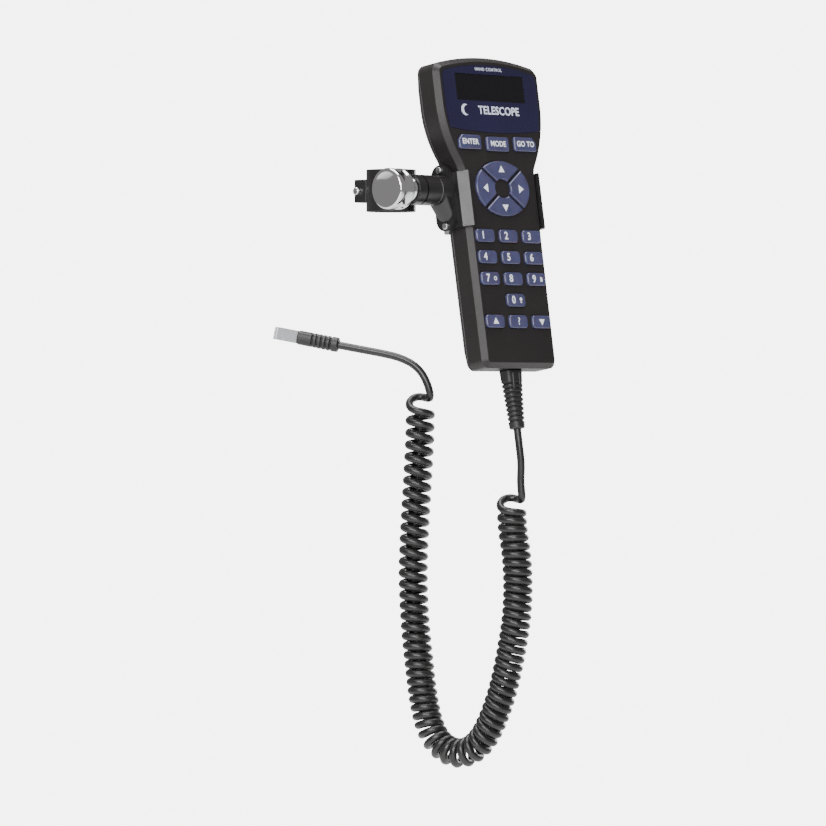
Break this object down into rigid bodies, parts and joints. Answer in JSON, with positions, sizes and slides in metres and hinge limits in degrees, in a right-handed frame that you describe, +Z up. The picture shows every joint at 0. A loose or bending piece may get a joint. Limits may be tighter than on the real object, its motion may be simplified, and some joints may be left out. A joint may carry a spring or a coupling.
{
  "type": "hand controller",
  "caption": "Handheld keypad controller with a small display, on a curly lead, resting in a tilting holder that clamps to a handle bar.",
  "frame": {"origin": "centre of the clamp, on the axis of the handle bar that it grips", "axes": "+Z up the handle bar, +X to the controller's right, -Y towards the user"},
  "size_m": [0.1178, 0.1452, 0.3763],
  "materials": {
    "shell": "satin moulded plastic with a fine grain",
    "panel": "glossy printed panel",
    "window": "clear tinted window",
    "display": "dark character display",
    "keys": "translucent moulded silicone, satin",
    "rubber": "soft black rubber",
    "board": "green circuit board with solder mask",
    "chip": "black epoxy",
    "led": "deep red transparent plastic",
    "clear_plug": "clear moulded plug",
    "boot": "soft black moulded relief",
    "cable": "black flexible sheath",
    "gold": "plated contacts",
    "holder": "glass filled black plastic with a satin face",
    "steel": "zinc plated steel",
    "brass": "turned brass",
    "washer": "grey low-friction plastic",
    "chrome": "bright plated, polished"
  },
  "bodies": {
    "clamp_body": {"clamp_body": "holder", "body_pad": "rubber", "guide_pin": "steel", "thread_insert": "brass", "swivel_washer": "washer", "swivel_screw": "steel"},
    "cradle": {"cradle": "holder", "cradle_hub": "holder", "hub_screws": "steel"},
    "handset": {"front_shell": "shell", "rear_shell": "shell", "face_panel": "panel", "lcd_window": "window", "lcd_frame": "steel", "lcd_glass": "display", "main_board": "board", "keypad_mat": "rubber", "board_chips": "chip", "beeper": "chip", "cord_jack": "chip", "red_led": "led", "led_lens": "led", "case_screws": "steel", "board_screws": "steel", "cord_plug": "clear_plug", "cord_boot": "boot", "cord_lead": "cable", "cord_coil": "cable", "cord_tail": "cable", "far_boot": "boot", "far_plug": "clear_plug", "far_contacts": "gold"},
    "jaw": {"clamp_jaw": "holder", "jaw_pad": "rubber"},
    "knob": {"knob": "chrome", "clamp_stud": "steel", "stud_clip": "steel"},
    "key_0": {"key_0": "keys"},
    "key_1": {"key_1": "keys"},
    "key_2": {"key_2": "keys"},
    "key_3": {"key_3": "keys"},
    "key_4": {"key_4": "keys"},
    "key_5": {"key_5": "keys"},
    "key_6": {"key_6": "keys"},
    "key_7": {"key_7": "keys"},
    "key_8": {"key_8": "keys"},
    "key_9": {"key_9": "keys"},
    "key_down": {"key_down": "keys"},
    "key_enter": {"key_enter": "keys"},
    "key_goto": {"key_goto": "keys"},
    "key_help": {"key_help": "keys"},
    "key_left": {"key_left": "keys"},
    "key_mode": {"key_mode": "keys"},
    "key_right": {"key_right": "keys"},
    "key_scroll_down": {"key_scroll_down": "keys"},
    "key_scroll_up": {"key_scroll_up": "keys"},
    "key_up": {"key_up": "keys"}
  },
  "joints": [
    {"name": "cradle_tilt", "type": "hinge", "parent": "clamp_body", "child": "cradle", "pos_m": [0.012, -0.019, 0], "axis": [1, 0, 0], "range_deg": [-20, 25]},
    {"name": "handset_lift", "type": "slide", "parent": "cradle", "child": "handset", "axis": [0, 0.1564, 0.9877], "range_m": [0, 0.11]},
    {"name": "jaw_slide", "type": "slide", "parent": "clamp_body", "child": "jaw", "axis": [-1, 0, 0], "range_m": [0, 0.004]},
    {"name": "knob_turn", "type": "hinge", "parent": "jaw", "child": "knob", "pos_m": [-0.012, -0.019, 0], "axis": [1, 0, 0], "range_deg": [0, 1460]},
    {"name": "key_0_press", "type": "slide", "parent": "handset", "child": "key_0", "axis": [0, 0.9877, -0.1564], "range_m": [0, 0.0008], "stiffness_N_per_m": 1500},
    {"name": "key_1_press", "type": "slide", "parent": "handset", "child": "key_1", "axis": [0, 0.9877, -0.1564], "range_m": [0, 0.0008], "stiffness_N_per_m": 1500},
    {"name": "key_2_press", "type": "slide", "parent": "handset", "child": "key_2", "axis": [0, 0.9877, -0.1564], "range_m": [0, 0.0008], "stiffness_N_per_m": 1500},
    {"name": "key_3_press", "type": "slide", "parent": "handset", "child": "key_3", "axis": [0, 0.9877, -0.1564], "range_m": [0, 0.0008], "stiffness_N_per_m": 1500},
    {"name": "key_4_press", "type": "slide", "parent": "handset", "child": "key_4", "axis": [0, 0.9877, -0.1564], "range_m": [0, 0.0008], "stiffness_N_per_m": 1500},
    {"name": "key_5_press", "type": "slide", "parent": "handset", "child": "key_5", "axis": [0, 0.9877, -0.1564], "range_m": [0, 0.0008], "stiffness_N_per_m": 1500},
    {"name": "key_6_press", "type": "slide", "parent": "handset", "child": "key_6", "axis": [0, 0.9877, -0.1564], "range_m": [0, 0.0008], "stiffness_N_per_m": 1500},
    {"name": "key_7_press", "type": "slide", "parent": "handset", "child": "key_7", "axis": [0, 0.9877, -0.1564], "range_m": [0, 0.0008], "stiffness_N_per_m": 1500},
    {"name": "key_8_press", "type": "slide", "parent": "handset", "child": "key_8", "axis": [0, 0.9877, -0.1564], "range_m": [0, 0.0008], "stiffness_N_per_m": 1500},
    {"name": "key_9_press", "type": "slide", "parent": "handset", "child": "key_9", "axis": [0, 0.9877, -0.1564], "range_m": [0, 0.0008], "stiffness_N_per_m": 1500},
    {"name": "key_down_press", "type": "slide", "parent": "handset", "child": "key_down", "axis": [0, 0.9877, -0.1564], "range_m": [0, 0.0008], "stiffness_N_per_m": 1800},
    {"name": "key_enter_press", "type": "slide", "parent": "handset", "child": "key_enter", "axis": [0, 0.9877, -0.1564], "range_m": [0, 0.0008], "stiffness_N_per_m": 1500},
    {"name": "key_goto_press", "type": "slide", "parent": "handset", "child": "key_goto", "axis": [0, 0.9877, -0.1564], "range_m": [0, 0.0008], "stiffness_N_per_m": 1500},
    {"name": "key_help_press", "type": "slide", "parent": "handset", "child": "key_help", "axis": [0, 0.9877, -0.1564], "range_m": [0, 0.0008], "stiffness_N_per_m": 1500},
    {"name": "key_left_press", "type": "slide", "parent": "handset", "child": "key_left", "axis": [0, 0.9877, -0.1564], "range_m": [0, 0.0008], "stiffness_N_per_m": 1800},
    {"name": "key_mode_press", "type": "slide", "parent": "handset", "child": "key_mode", "axis": [0, 0.9877, -0.1564], "range_m": [0, 0.0008], "stiffness_N_per_m": 1500},
    {"name": "key_right_press", "type": "slide", "parent": "handset", "child": "key_right", "axis": [0, 0.9877, -0.1564], "range_m": [0, 0.0008], "stiffness_N_per_m": 1800},
    {"name": "key_scroll_down_press", "type": "slide", "parent": "handset", "child": "key_scroll_down", "axis": [0, 0.9877, -0.1564], "range_m": [0, 0.0008], "stiffness_N_per_m": 1500},
    {"name": "key_scroll_up_press", "type": "slide", "parent": "handset", "child": "key_scroll_up", "axis": [0, 0.9877, -0.1564], "range_m": [0, 0.0008], "stiffness_N_per_m": 1500},
    {"name": "key_up_press", "type": "slide", "parent": "handset", "child": "key_up", "axis": [0, 0.9877, -0.1564], "range_m": [0, 0.0008], "stiffness_N_per_m": 1800}
  ],
  "couplings": [
    {"joint": "knob_turn", "follows": "jaw_slide", "rad_per_m": 6283.2}
  ]
}
